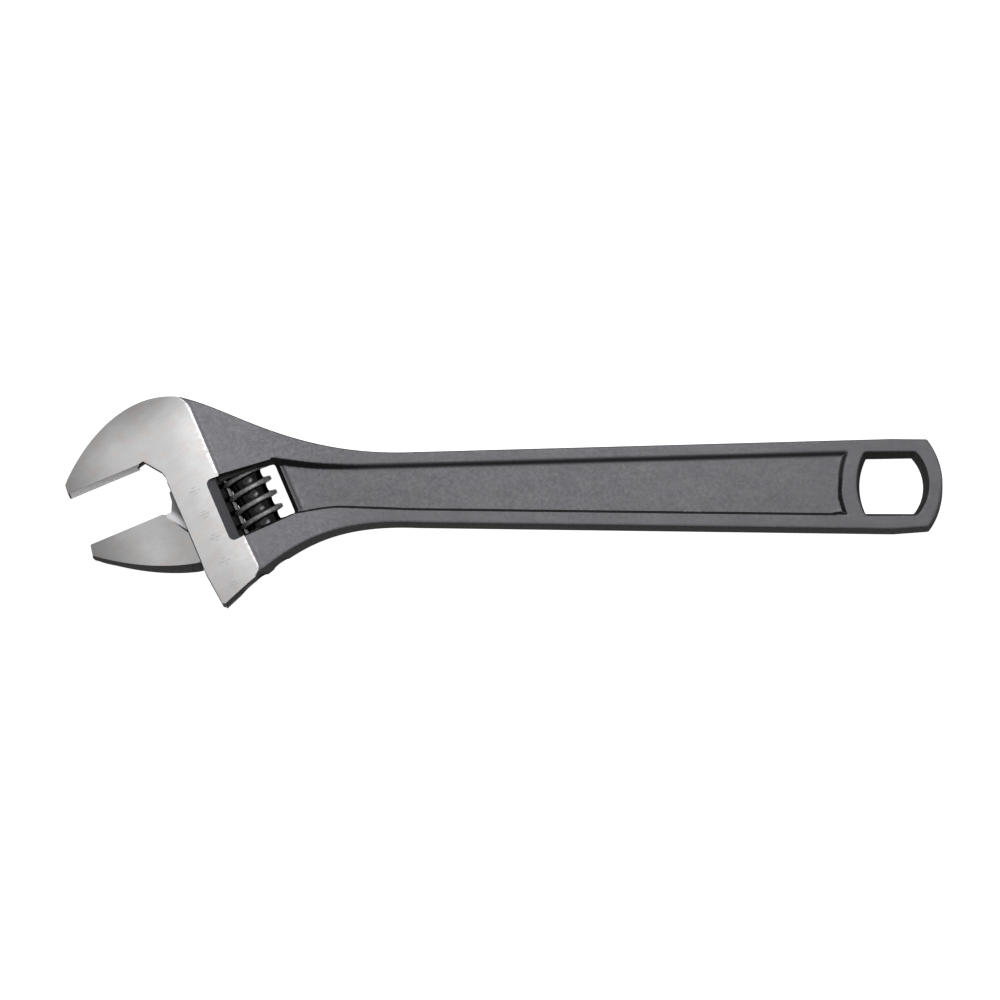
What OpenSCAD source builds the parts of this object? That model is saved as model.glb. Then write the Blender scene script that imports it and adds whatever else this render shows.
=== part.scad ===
// Adjustable wrench, 18 inch class, lying on its back with the jaws partly open.
// X runs along the handle towards the hanging hole and Z is up. The origin is the middle of the
// whole wrench's outline, on the plane the head lies on. Millimetres.

/* [Head] */
// thickness across the two ground faces
head_thickness = 26; // [20:0.5:32]
// angle between the jaw faces and the handle
head_angle = 22.5; // [15:0.5:30]
// opening between the jaws at rest
opening = 28.7; // [10:0.1:50]
// how far the movable jaw travels from rest until it is closed
jaw_travel = 28.6; // [10:0.1:50]
// length of a jaw face in front of the slide
jaw_face_length = 39; // [30:0.5:50]

/* [Slide] */
// radius of the round rail that carries the rack
rail_radius = 9.1; // [7:0.1:11]
// distance from the worm axis to the rail axis
rail_distance = 18; // [14:0.1:20]
// thickness of the neck that joins the jaw to its rail
neck_thickness = 10.4; // [8:0.1:14]
// running clearance of the rail and the neck on each side
slide_clearance = 0.3; // [0.1:0.05:0.5]

/* [Worm] */
// advance of the worm thread in one turn
thread_pitch = 7.75; // [6:0.25:10]
// radius over the thread ridges
worm_radius = 12.7; // [9:0.1:13]
// radius of the worm between its ridges
worm_core_radius = 8.6; // [5:0.1:10]
// length of the worm
worm_length = 28.9; // [20:0.1:36]
// radius of the pin the worm turns on
pin_radius = 3; // [2:0.1:4]
// where along one turn the thread starts
thread_phase = 0.61; // [0:0.01:1]

/* [Handle] */
// thickness of the handle
handle_thickness = 15; // [12:0.5:20]
// depth of the long panel on each side
panel_depth = 2.2; // [1:0.1:3]
// width of the window that holds the worm
window_width = 31.6; // [28:0.1:36]

/* [Hidden] */
mid = head_thickness / 2;
handle_low = mid - handle_thickness / 2;
cut = 0.01;
tall = 2 * head_thickness;
turn = 360;

// the middle of the wrench's outline, and the worm's centre, both measured from the handle's centre line
outline_middle = [4, -6.1];
worm_centre = [-128, -4.3];

// places along u, the direction of the jaw faces, from the worm axis; the slide runs along s
tip_u = -87.9;
face_end_u = tip_u + jaw_face_length;
front_u = -38.1;
land_u = -12.6;
window_left_u = -14.5;
window_right_u = window_left_u + window_width;
window_chamfer = 4.5;
window_chamfer_depth = 3.2;
// the window's two ends along s, at its left and its right edge; its upper rim leans further out than the wall below it
window_top_s = [-14, -13.4];
window_bottom_s = [16.8, 16];
rim_top_s = [-16.8, -13.5];
rim_depth = 5;
worm_top_s = -13.1;
fixed_face_s = -38;
moving_face_s = fixed_face_s + opening;
rail_top_s = -22;
rail_bottom_s = 31;

// the worm's thread is narrow at the crest and wide at the core
crest_width = 2.2;
root_width = 3.8;
worm_bore_radius = pin_radius + 0.08;
spring_pocket_radius = 5.2;
spring_pocket_depth = 11;
spring_wire_radius = 0.5;
spring_coil_radius = 4.25;
spring_turns = 5;
spring_top_s = -13.4;

// the pin is threaded into the lower edge and ends in a blind bore above the window
pin_head_radius = 4.5;
pin_head_top_s = 21;
pin_head_bottom_s = 33.6;
pin_top_s = -28;
pin_fit = 0.04;

function bend(a, b, c, d, n) = [for (i = [0 : n - 1]) let (t = i / n)
    a * pow(1 - t, 3) + 3 * b * t * pow(1 - t, 2) + 3 * c * t * t * (1 - t) + d * pow(t, 3)];

// a point given along u and s from the worm axis, on the handle's own axes
function from_slide(p) = worm_centre + [
    p[0] * cos(head_angle) + p[1] * sin(head_angle),
    p[0] * sin(head_angle) - p[1] * cos(head_angle)];
function all_from_slide(points) = [for (p = points) from_slide(p)];

// brings what is drawn on the handle's axes to the origin
module on_handle() {
    translate([-outline_middle[0], -outline_middle[1], 0]) children();
}

// brings what is drawn with X along u and Y against s, from the worm axis, to the origin
module on_slide() {
    on_handle() translate([worm_centre[0], worm_centre[1], 0]) rotate([0, 0, head_angle]) children();
}

// turns what is drawn round Z into a shape round the slide direction, at mid thickness
module along_slide() {
    on_slide() translate([0, 0, mid]) rotate([90, 0, 0]) children();
}

// a polygon whose points are given along u and s
module slide_polygon(points) {
    polygon([for (p = points) [p[0], -p[1]]]);
}

// fixed jaw, head and handle seen from above; the handle's end is left square
function body_outline() = concat(
    all_from_slide([[tip_u, fixed_face_s], [face_end_u, fixed_face_s], [-46, -39], [-39.4, -28.6],
        [front_u, -26], [front_u, 27], [-36.2, 44.8]]),
    bend(from_slide([-35.2, 45.4]), [-108, -25.5], [-88, -18.5], [-41.7, -18.8], 16),
    [[-41.7, -18.8], [207, -24], [243, -22.2], [243, 22.9], [206, 24.4]],
    bend([-44.3, 19.2], [-108.3, 17.5], [-140.3, 42.4], from_slide([-14.6, -61.6]), 20),
    all_from_slide(bend([-15, -61.9], [-38, -75.1], [-66.4, -62.3], [-86.6, -43.6], 20)),
    all_from_slide([[-87.4, -42.8]]));

// the rounded end of the handle
module end_arc() {
    end_radius = 39;
    arc_centre = [233 - end_radius, 0.3];
    translate([-300, -100]) square([300 + arc_centre[0], 200]);
    translate(arc_centre) circle(r = end_radius, $fn = 96);
}

// how the thickness falls from the ground land to the handle
module side_profile() {
    low = [[-120, 0], [land_u, 0], [land_u + 1.2, 0.8], [window_right_u + 6, 2.6], [70, handle_low],
        [420, handle_low]];
    high = [for (i = [len(low) - 1 : -1 : 0]) [low[i][0], head_thickness - low[i][1]]];
    on_slide() translate([0, 150, 0]) rotate([90, 0, 0])
        linear_extrude(height = 500) polygon(concat(low, high));
}

module hanging_hole() {
    half = 16.4;
    middle_y = 0.4;
    left_x = 187.9;
    left_radius = 35;
    right_x = 225.2;
    right_radius = 24;
    intersection() {
        translate([left_x, middle_y - half]) square([right_x - left_x, 2 * half]);
        translate([left_x + left_radius, middle_y]) circle(r = left_radius, $fn = 96);
        translate([right_x - right_radius, middle_y]) circle(r = right_radius, $fn = 96);
    }
}

// the long recess, open to the window at one end and stopping short of the hanging hole at the other
module panel() {
    end_radius = 43;
    difference() {
        polygon(concat([[-42, 11.4], [186, 15.9], [186, -16.2], [-42, -11.6]],
            bend([-80, -10.2], [-92, -10], [-98, -12.2], from_slide([window_right_u - 2, 16]), 6),
            all_from_slide([[window_right_u - 2, 16], [window_right_u - 2, -16]]),
            [[-106, 13.6], [-98, 12], [-90, 11.5], [-77, 11]]));
        translate([179.3 + end_radius, 0]) circle(r = end_radius, $fn = 96);
    }
}

function arc(centre, radius, first) = [for (i = [0 : 8]) let (a = first + 90 * i / 8)
    centre + radius * [cos(a), sin(a)]];

module window(top_s) {
    corner = 2.5;
    left = window_left_u + corner;
    right = window_right_u - corner;
    polygon(concat(
        arc([left, corner - window_bottom_s[0]], corner, 180),
        arc([right, corner - window_bottom_s[1]], corner, 270),
        arc([right, -top_s[1] - corner], corner, 0),
        arc([left, -top_s[0] - corner], corner, 90)));
}

// the window, with its leaning rim and the sloped wall on its jaw side cut from the front and the back
module window_opening() {
    chamfer_half = 16;
    inner_u = window_left_u + window_chamfer;
    translate([0, 0, -cut]) linear_extrude(height = tall) window(window_top_s);
    for (flip = [0, 1])
        translate([0, 0, flip * head_thickness]) mirror([0, 0, flip]) {
            translate([0, 0, -cut]) linear_extrude(height = rim_depth + cut) window(rim_top_s);
            translate([0, chamfer_half, 0]) rotate([90, 0, 0]) linear_extrude(height = 2 * chamfer_half)
                polygon([[window_left_u - window_chamfer, -cut], [window_left_u + cut, window_chamfer_depth],
                    [inner_u, window_chamfer_depth], [inner_u, -cut]]);
        }
}

// the round channel and the slot that the movable jaw slides in, right up to the closed position
module slideway() {
    top_s = rail_top_s - jaw_travel - 1;
    bottom_s = 60;
    along_slide() translate([-rail_distance, 0, top_s])
        cylinder(r = rail_radius + slide_clearance, h = bottom_s - top_s, $fn = 64);
    slot = neck_thickness + 2 * slide_clearance;
    on_slide() translate([0, 0, mid - slot / 2]) linear_extrude(height = slot)
        slide_polygon([[-rail_distance, top_s], [-27, top_s], [-40.4, top_s + 2], [-43.5, fixed_face_s - 2],
            [face_end_u - 1, fixed_face_s - 1], [face_end_u - 1, fixed_face_s + 1], [-60, bottom_s],
            [-rail_distance, bottom_s]]);
}

module pin_bore() {
    along_slide() {
        translate([0, 0, pin_top_s - 1]) cylinder(r = pin_radius + pin_fit, h = 60, $fn = 48);
        translate([0, 0, pin_head_top_s - 0.2]) cylinder(r = pin_head_radius + pin_fit, h = 30, $fn = 48);
    }
}

module body() {
    color("dimgray") difference() {
        intersection() {
            on_handle() linear_extrude(height = head_thickness) intersection() {
                polygon(body_outline());
                end_arc();
            }
            side_profile();
        }
        on_handle() {
            translate([0, 0, -cut]) linear_extrude(height = tall) hanging_hole();
            translate([0, 0, head_thickness - handle_low - panel_depth]) linear_extrude(height = tall) panel();
            translate([0, 0, handle_low + panel_depth - tall]) linear_extrude(height = tall) panel();
        }
        on_slide() window_opening();
        slideway();
        pin_bore();
    }
}

// the part of the movable jaw that is as thick as the head, with a slope down to the neck
module jaw_land() {
    slope_start = [-47.2, moving_face_s];
    slope_end = [front_u - 0.4, 4.6];
    slope_turn = atan2(slope_start[1] - slope_end[1], slope_end[0] - slope_start[0]);
    slope_angle = 80;
    on_slide() difference() {
        linear_extrude(height = head_thickness) slide_polygon(concat(
            [[tip_u + 0.5, moving_face_s], [-44, moving_face_s], [front_u - 0.4, -2], [front_u - 0.4, 21]],
            bend([front_u - 0.8, 21.2], [-58, 17], [-74.5, 7.5], [-88.4, -3.6], 16),
            [[-88.2, -4.6]]));
        for (flip = [0, 1])
            translate([slope_start[0], -slope_start[1], flip * head_thickness]) mirror([0, 0, flip])
                rotate([0, 0, slope_turn]) rotate([slope_angle, 0, 0]) translate([-10, 0, -60])
                    cube([60, 40, 60]);
    }
}

// one groove of the rack, wide enough for the worm's thread with room on both flanks
module rack_groove() {
    room = 0.28;
    depth_u = -worm_radius - 2.5;
    rise = (root_width - crest_width) / (worm_radius - worm_core_radius);
    function width(u) = crest_width / 2 + rise * max(worm_radius + u, 0) / 2 + room;
    lead = atan(thread_pitch / (turn * PI / 180 * (worm_radius + worm_core_radius) / 2));
    rotate([-lead, 0, 0]) linear_extrude(height = 24, center = true)
        polygon([[depth_u, -width(depth_u)], [-worm_radius, -width(-worm_radius)], [-6, -width(-6)],
            [-6, width(-6)], [-worm_radius, width(-worm_radius)], [depth_u, width(depth_u)]]);
}

module movable_jaw() {
    chamfer = 1.2;
    rail_length = rail_bottom_s - rail_top_s;
    color("gray") difference() {
        union() {
            jaw_land();
            on_slide() translate([0, 0, mid - neck_thickness / 2]) linear_extrude(height = neck_thickness)
                slide_polygon([[-50, moving_face_s], [-42.4, moving_face_s - 0.3], [-39.9, -14.5],
                    [-39.3, rail_top_s + 2.5], [-27, rail_top_s + 1], [-rail_distance, rail_top_s + 1],
                    [-rail_distance, rail_bottom_s - 1], [-24, rail_bottom_s - 1], [front_u + 0.4, 21.2],
                    [-42, 19.8], [-50, 16]]);
            along_slide() translate([-rail_distance, 0, rail_top_s]) {
                translate([0, 0, chamfer])
                    cylinder(r = rail_radius, h = rail_length - 2 * chamfer, $fn = 64);
                cylinder(r1 = rail_radius - chamfer, r2 = rail_radius, h = chamfer, $fn = 64);
                translate([0, 0, rail_length - chamfer])
                    cylinder(r1 = rail_radius, r2 = rail_radius - chamfer, h = chamfer, $fn = 64);
            }
        }
        for (i = [-5 : 4])
            on_slide() translate([0, (i + thread_phase - 0.25) * thread_pitch, mid]) rack_groove();
    }
}

// one ridge wound round the worm, longer than the worm at both ends
module thread() {
    steps = 24;
    turns = worm_length / thread_pitch + 2;
    shape = [[worm_core_radius - 0.6, -root_width / 2 - 0.2], [worm_radius - 0.5, -crest_width / 2 - 0.14],
        [worm_radius, -crest_width / 4], [worm_radius, crest_width / 4],
        [worm_radius - 0.5, crest_width / 2 + 0.14], [worm_core_radius - 0.6, root_width / 2 + 0.2]];
    n = len(shape);
    count = ceil(steps * turns);
    points = [for (i = [0 : count], p = shape) let (a = turn * (i - count / 2) / steps)
        [p[0] * sin(a), p[1] + thread_pitch * (a / turn + thread_phase), p[0] * cos(a)]];
    sides = [for (i = [0 : count - 1], j = [0 : n - 1])
        [i * n + j, i * n + (j + 1) % n, (i + 1) * n + (j + 1) % n, (i + 1) * n + j]];
    ends = [[for (j = [n - 1 : -1 : 0]) j], [for (j = [0 : n - 1]) count * n + j]];
    polyhedron(points = points, faces = concat(sides, ends), convexity = 8);
}

module adjusting_worm() {
    color("darkslategray") difference() {
        union() {
            along_slide() translate([0, 0, worm_top_s]) cylinder(r = worm_core_radius, h = worm_length, $fn = 64);
            intersection() {
                on_slide() translate([0, 0, mid]) thread();
                along_slide() translate([0, 0, worm_top_s])
                    cylinder(r = worm_radius + 1, h = worm_length, $fn = 64);
            }
        }
        along_slide() {
            cylinder(r = worm_bore_radius, h = 2 * worm_length, center = true, $fn = 48);
            translate([0, 0, worm_top_s - cut])
                cylinder(r = spring_pocket_radius, h = spring_pocket_depth + cut, $fn = 48);
        }
    }
}

module worm_pin() {
    slot_width = 1.4;
    slot_depth = 1.8;
    along_slide() color("silver") difference() {
        union() {
            translate([0, 0, pin_top_s]) cylinder(r = pin_radius, h = pin_head_top_s - pin_top_s + 1, $fn = 48);
            translate([0, 0, pin_head_top_s])
                cylinder(r = pin_head_radius, h = pin_head_bottom_s - pin_head_top_s, $fn = 48);
        }
        translate([-pin_head_radius - 1, -slot_width / 2, pin_head_bottom_s - slot_depth])
            cube([2 * pin_head_radius + 2, slot_width, slot_depth + 1]);
    }
}

// a wire wound round the pin between the window's wall and the floor of the worm's pocket
module worm_spring() {
    steps = 14;
    sides = 6;
    count = steps * spring_turns;
    first = spring_top_s + spring_wire_radius;
    last = worm_top_s + spring_pocket_depth - spring_wire_radius - 0.08;
    points = [for (i = [0 : count], j = [0 : sides - 1])
        let (a = turn * i / steps, b = turn * j / sides, r = spring_coil_radius + spring_wire_radius * cos(b))
        [r * cos(a), r * sin(a), first + (last - first) * i / count + spring_wire_radius * sin(b)]];
    walls = [for (i = [0 : count - 1], j = [0 : sides - 1])
        [i * sides + j, (i + 1) * sides + j, (i + 1) * sides + (j + 1) % sides, i * sides + (j + 1) % sides]];
    ends = [[for (j = [0 : sides - 1]) j], [for (j = [sides - 1 : -1 : 0]) count * sides + j]];
    color("silver") along_slide() polyhedron(points = points, faces = concat(walls, ends), convexity = 8);
}

body();
movable_jaw();
adjusting_worm();
worm_pin();
worm_spring();
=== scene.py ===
import math

import bmesh
import bpy
import numpy as np
from mathutils import Matrix, Vector
from mathutils.geometry import delaunay_2d_cdt


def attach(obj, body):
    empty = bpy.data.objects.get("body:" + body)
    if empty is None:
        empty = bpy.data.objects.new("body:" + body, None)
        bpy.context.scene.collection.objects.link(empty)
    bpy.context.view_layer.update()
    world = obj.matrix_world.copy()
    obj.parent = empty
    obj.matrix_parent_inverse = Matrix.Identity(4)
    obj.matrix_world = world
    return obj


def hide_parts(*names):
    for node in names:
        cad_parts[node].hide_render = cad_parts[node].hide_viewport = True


# Shapes are drawn in millimetres on the handle's own axes: X along the handle, Y across it, Z up.
# place() brings them to the frame, in metres.
MM = 0.001
OUTLINE_MIDDLE = (4.0, -6.1)

# heights
THICK = 26.0
MID = THICK / 2
HANDLE_TOP = 20.5
HANDLE_MIDDLE_Y = 0.4
PANEL_DEPTH = 2.2

# u runs along the jaw faces towards the handle and s is the way the movable jaw opens.
# Both start at the worm's centre.
WORM_CENTRE = np.array((-128.0, -4.3))
HEAD_ANGLE = math.radians(22.5)
U = np.array((math.cos(HEAD_ANGLE), math.sin(HEAD_ANGLE)))
S = np.array((math.sin(HEAD_ANGLE), -math.cos(HEAD_ANGLE)))

# the head: jaw tips and faces, throat, front of the slide and ground land
TIP_U = -87.9
FACE_END_U = -48.4
FRONT_U = -38.1
LAND_U = -12.6
LAND_RAMP = 2.4
LAND_TOP_S = -62.4
LAND_BOTTOM_S = 37.4
FIXED_FACE_S = -38.0
THROAT = ((-45.7, -38.7), (-38.9, -29.7))
THROAT_RELIEF = 2.6

# how far the jaws are open, and how far the movable jaw can still close
OPENING = 28.7
TRAVEL = 28.6

# the window round the worm, the recess above it, the pocket on its jaw side and the bead on its other side
WINDOW_LEFT_U = -14.5
WINDOW_RIGHT_U = 17.1
WINDOW_TOP_S = (-14.0, -13.4)
WINDOW_BOTTOM_S = (16.8, 16.0)
RIM_TOP_S = (-16.8, -13.5)
RIM_DEPTH = 5.0
POCKET_U = -20.1
BEAD_U = WINDOW_RIGHT_U + 3.6

# middle and step of the five marks of the opening scale
SCALE_U = -27.0
SCALE_S = 12.3
SCALE_STEP = 13.2

# the rail and the neck of the movable jaw, and the draft of the forged walls
RAIL_U = -18.0
RAIL_RADIUS = 9.1
RAIL_TOP_S = -22.0
RAIL_BOTTOM_S = 31.0
NECK_HALF = 5.2
SLIDE_GAP = 0.3
DRAFT = math.tan(math.radians(8.5))

# the worm's thread, the worm and the pin that it turns on
PITCH = 7.75
PHASE = 0.61
WORM_RADIUS = 12.7
CORE_RADIUS = 8.6
WORM_TOP_S = -13.1
WORM_BOTTOM_S = 15.8
PIN_RADIUS = 3.0
PIN_HEAD_RADIUS = 4.5
SPRING_POCKET = 11


def from_slide(p):
    return WORM_CENTRE + p[0] * U + p[1] * S


def to_slide(xy):
    d = np.asarray(xy) - WORM_CENTRE
    return d @ U, d @ S


def place(co):
    """Points drawn in millimetres on the handle's axes, as points of the frame in metres."""
    co = np.array(co, float)
    co[:, 0] -= OUTLINE_MIDDLE[0]
    co[:, 1] -= OUTLINE_MIDDLE[1]
    return co * MM


def round_slide(co):
    """Points about the worm's axis (x across the thickness, y along u, z against s), on the handle's axes."""
    co = np.asarray(co, float)
    xy = WORM_CENTRE + co[:, 1:2] * U - co[:, 2:3] * S
    return np.column_stack([xy, MID + co[:, 0]])


def smooth(t):
    t = np.clip(t, 0, 1)
    return t * t * (3 - 2 * t)


# ---------------------------------------------------------------- outlines


def bend(a, b, c, d, n):
    """A cubic curve from a towards d, drawn by b and c, without d itself."""
    a, b, c, d = (np.array(p, float) for p in (a, b, c, d))
    ts = [i / n for i in range(n)]
    return [a * (1 - t) ** 3 + 3 * b * t * (1 - t) ** 2 + 3 * c * t * t * (1 - t) + d * t**3 for t in ts]


def on_slide(points):
    return [from_slide(p) for p in points]


def rounded(points, radius, sharp=20.0):
    """The closed outline with every corner sharper than this many degrees turned into an arc."""
    out, n = [], len(points)
    for i, p in enumerate(points):
        before, after = np.array(points[i - 1]) - p, np.array(points[(i + 1) % n]) - p
        la, lb = np.linalg.norm(before), np.linalg.norm(after)
        turn = math.pi - math.acos(np.clip(before @ after / (la * lb), -1, 1))
        if math.degrees(turn) < sharp:
            out.append(np.array(p, float))
            continue
        reach = min(radius * math.tan(turn / 2), 0.45 * min(la, lb))
        a, b = p + before / la * reach, p + after / lb * reach
        steps = max(3, round(math.degrees(turn) / 15))
        for k in range(steps + 1):
            t = k / steps
            out.append(a * (1 - t) ** 2 + 2 * np.array(p) * t * (1 - t) + b * t * t)
    return out


def resampled(points, step):
    """The closed outline with its long edges cut into steps."""
    out, n = [], len(points)
    for i, p in enumerate(points):
        q = points[(i + 1) % n]
        cuts = max(1, math.ceil(np.linalg.norm(np.array(q) - p) / step))
        out += [np.array(p) + (np.array(q) - p) * k / cuts for k in range(cuts)]
    return np.array(out)


def anticlockwise(points):
    p = np.array(points)
    q = np.roll(p, -1, axis=0)
    return p if (p[:, 0] * q[:, 1] - q[:, 0] * p[:, 1]).sum() > 0 else p[::-1]


def rounded_loop(points, radius, step):
    """A closed outline that runs anticlockwise, with rounded corners and no edge longer than step."""
    return anticlockwise(resampled(rounded(points, radius), step))


def arc(x, y, radius, half, steps=16, side=1):
    """Part of a circle round (x, y), from half below y to half above it, towards +X or -X as side says."""
    reach = math.asin(half / radius)
    angles = [reach * (2 * k / steps - 1) for k in range(steps + 1)]
    return [np.array((x + side * radius * math.cos(a), y + radius * math.sin(a))) for a in angles]


def ring(points, distance):
    """The closed outline moved to its left by a distance."""
    p = np.array(points)
    d = np.roll(p, -1, axis=0) - p
    left = np.column_stack([-d[:, 1], d[:, 0]]) / np.linalg.norm(d, axis=1)[:, None]
    both = left + np.roll(left, 1, axis=0)
    both /= np.maximum(np.linalg.norm(both, axis=1), 0.4)[:, None]
    return p + both * distance


def body_outline():
    end_x, end_radius, half = 233.0, 39.0, 23.4
    end = arc(end_x - end_radius, 0.3, end_radius, half, 24)
    head = on_slide([(TIP_U, FIXED_FACE_S), (FACE_END_U, FIXED_FACE_S), *THROAT])
    head += on_slide([(FRONT_U, -27), (FRONT_U, 27), (-36.2, 45.2)])
    waist = (-41.7, -19.1)
    lower = bend(from_slide((-35.2, 45.9)), (-108, -27.5), (-88, -16.8), waist, 32)
    lower += [np.array(waist), np.array((207.0, -24.3))]
    upper = [np.array((206.0, 24.0))]
    upper += bend((-44.3, 18.7), (-108.3, 16.5), (-140.3, 42.4), from_slide((-14.6, -62.0)), 40)
    jaw = on_slide(bend((-15, -62.3), (-38.2, -75.6), (-66.9, -62.7), (-86.8, -43.6), 40))
    jaw += on_slide([(-87.4, -42.8)])
    return rounded_loop(head + lower + end + upper + jaw, 0.9, 2.0)


def hanging_hole():
    """Flat long sides and arced ends, with rounded corners."""
    half = 16.4
    left = arc(222.9, HANDLE_MIDDLE_Y, 35.0, half, side=-1)
    right = arc(201.2, HANDLE_MIDDLE_Y, 24.0, half)
    return rounded_loop(left[::-1] + right, 2.4, 1.5)


def window(top_s):
    corners = [(WINDOW_LEFT_U, top_s[0]), (WINDOW_RIGHT_U, top_s[1]),
               (WINDOW_RIGHT_U, WINDOW_BOTTOM_S[1]), (WINDOW_LEFT_U, WINDOW_BOTTOM_S[0])]
    return rounded_loop(on_slide(corners), 2.5, 1.5)


def pocket():
    """The sloped wall on the jaw side of the window, seen from above."""
    corners = [(POCKET_U, -17.0), (-8, -16.2), (-8, 16.6), (POCKET_U, 17.7)]
    return rounded_loop(on_slide(corners), 3.5, 1.5)


def panel():
    """The long recess of the handle, open to the window at its left end."""
    end_x, end_radius, half = 179.3, 43.0, 16.5
    end = arc(end_x + end_radius, HANDLE_MIDDLE_Y, end_radius, half, side=-1)
    lower = bend(from_slide((14, 16.0)), (-98, -12.2), (-92, -10.0), (-80, -10.2), 10)
    lower += [np.array((-80.0, -10.3)), np.array((-42.0, -11.8))]
    upper = [np.array((-42.0, 12.1)), np.array((-77.0, 11.5))]
    window_corner = from_slide((15.5, -14.3))
    upper += bend((-90, 11.8), (-98, 12.1), (-106, 13.3), window_corner, 8) + [window_corner]
    return rounded_loop(lower + end + upper, 2.5, 2.0)


# ---------------------------------------------------------------- flat-lying shapes as height fields


def chunks(xy, size=3000):
    return [xy[i : i + size] for i in range(0, len(xy), size)]


def distance_to(xy, loop):
    """How far each point is from a closed outline."""
    a, b = loop, np.roll(loop, -1, axis=0)
    d = b - a
    out = []
    for p in chunks(np.asarray(xy)):
        t = np.clip(((p[:, None] - a) * d).sum(-1) / (d * d).sum(-1), 0, 1)
        out.append(np.sqrt((((p[:, None] - a) - t[..., None] * d) ** 2).sum(-1).min(1)))
    return np.concatenate(out)


def inside(xy, loop):
    a, b = loop, np.roll(loop, -1, axis=0)
    out = []
    for p in chunks(np.asarray(xy)):
        x, y = p[:, :1], p[:, 1:]
        crosses = (a[:, 1] > y) != (b[:, 1] > y)
        rise = np.where(b[:, 1] == a[:, 1], 1, b[:, 1] - a[:, 1])
        at = a[:, 0] + (y - a[:, 1]) / rise * (b[:, 0] - a[:, 0])
        out.append((crosses & (x < at)).sum(1) % 2 == 1)
    return np.concatenate(out)


def depth_inside(xy, loop):
    """Distance to the outline, positive inside it."""
    return np.where(inside(xy, loop), 1, -1) * distance_to(xy, loop)


def edge_drop(distance, radius):
    """How far a rounded edge has fallen at a distance from the side wall."""
    d = np.minimum(distance, radius)
    return radius - np.sqrt(np.maximum(radius**2 - (radius - d) ** 2, 0))


def lying_shape(outer, holes, lines, height, lean, grid):
    """A closed mesh between a height field and its mirror image below the middle of the thickness.
    lines are further outlines and paths that the mesh follows. lean says how far the side walls come out
    towards the middle of the thickness. grid is the spacing of the mesh's other points."""
    points, edges = [], []

    def add(path, closed):
        first = len(points)
        points.extend(Vector(p) for p in path)
        n = len(path)
        edges.extend((first + i, first + (i + 1) % n) for i in range(n if closed else n - 1))

    for loop in [outer] + holes:
        add(loop, True)
    for path, closed in lines:
        add(path, closed)
    low, high = outer.min(0), outer.max(0)
    xs, ys = (np.arange(low[k] + grid / 2, high[k], grid) for k in (0, 1))
    loose = np.array([(x + (j % 2) * grid / 2, y) for j, y in enumerate(ys) for x in xs])
    clear = inside(loose, outer) & (distance_to(loose, outer) > grid * 0.4)
    for hole in holes:
        clear &= ~inside(loose, hole) & (distance_to(loose, hole) > grid * 0.4)
    points.extend(Vector(p) for p in loose[clear])
    verts, _, faces, _, _, _ = delaunay_2d_cdt(points, edges, [], 0, 1e-5)
    xy = np.array([tuple(v) for v in verts])
    tri = np.array(faces)
    centre = xy[tri].mean(1)
    keep = inside(centre, outer)
    for hole in holes:
        keep &= ~inside(centre, hole)
    tri = tri[keep]
    used, tri = np.unique(tri, return_inverse=True)
    xy, tri = xy[used], tri.reshape(-1, 3)
    a, b, c = (xy[tri[:, k]] for k in range(3))
    flipped = (b[:, 0] - a[:, 0]) * (c[:, 1] - a[:, 1]) - (b[:, 1] - a[:, 1]) * (c[:, 0] - a[:, 0]) < 0
    tri[flipped] = tri[flipped][:, ::-1]
    z = height(xy)
    n = len(xy)
    rim = {}
    for t in tri:
        for i in range(3):
            a, b = int(t[i]), int(t[(i + 1) % 3])
            if (b, a) in rim:
                del rim[(b, a)]
            else:
                rim[(a, b)] = True
    outward = np.zeros((n, 2))
    for a, b in rim:
        d = xy[b] - xy[a]
        outward[[a, b]] += np.array((d[1], -d[0])) / np.linalg.norm(d)
    edge = sorted({a for a, _ in rim})
    outward = outward[edge] / np.maximum(np.linalg.norm(outward[edge], axis=1), 1e-9)[:, None]
    middle = xy[edge] + outward * lean(xy[edge])[:, None]
    at = {v: 2 * n + i for i, v in enumerate(edge)}
    co = np.concatenate([np.column_stack([xy, z]), np.column_stack([xy, THICK - z]),
                         np.column_stack([middle, np.full(len(edge), MID)])])
    shape = [tuple(int(i) for i in t) for t in tri]
    shape += [tuple(int(i) + n for i in t[::-1]) for t in tri]
    for a, b in rim:
        shape += [(b, a, at[a], at[b]), (at[b], at[a], a + n, b + n)]
    return co, shape


# ---------------------------------------------------------------- meshes


def make(name, co, faces, placed=False):
    mesh = bpy.data.meshes.new(name)
    mesh.from_pydata([tuple(c) for c in (co if placed else place(co))], [], faces)
    mesh.validate()
    obj = bpy.data.objects.new(name, mesh)
    bpy.context.scene.collection.objects.link(obj)
    bm = bmesh.new()
    bm.from_mesh(mesh)
    bmesh.ops.recalc_face_normals(bm, faces=bm.faces)
    bm.to_mesh(mesh)
    bm.free()
    return obj


def combine(obj, others, operation):
    """Adds or cuts the other objects, then drops them."""
    for other in others:
        m = obj.modifiers.new("shape", "BOOLEAN")
        m.operation = operation
        m.solver = "EXACT"
        m.object = other
    bpy.context.view_layer.update()
    made = bpy.data.meshes.new_from_object(obj.evaluated_get(bpy.context.evaluated_depsgraph_get()))
    obj.modifiers.clear()
    obj.data = made
    for other in others:
        bpy.data.objects.remove(other)


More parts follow.
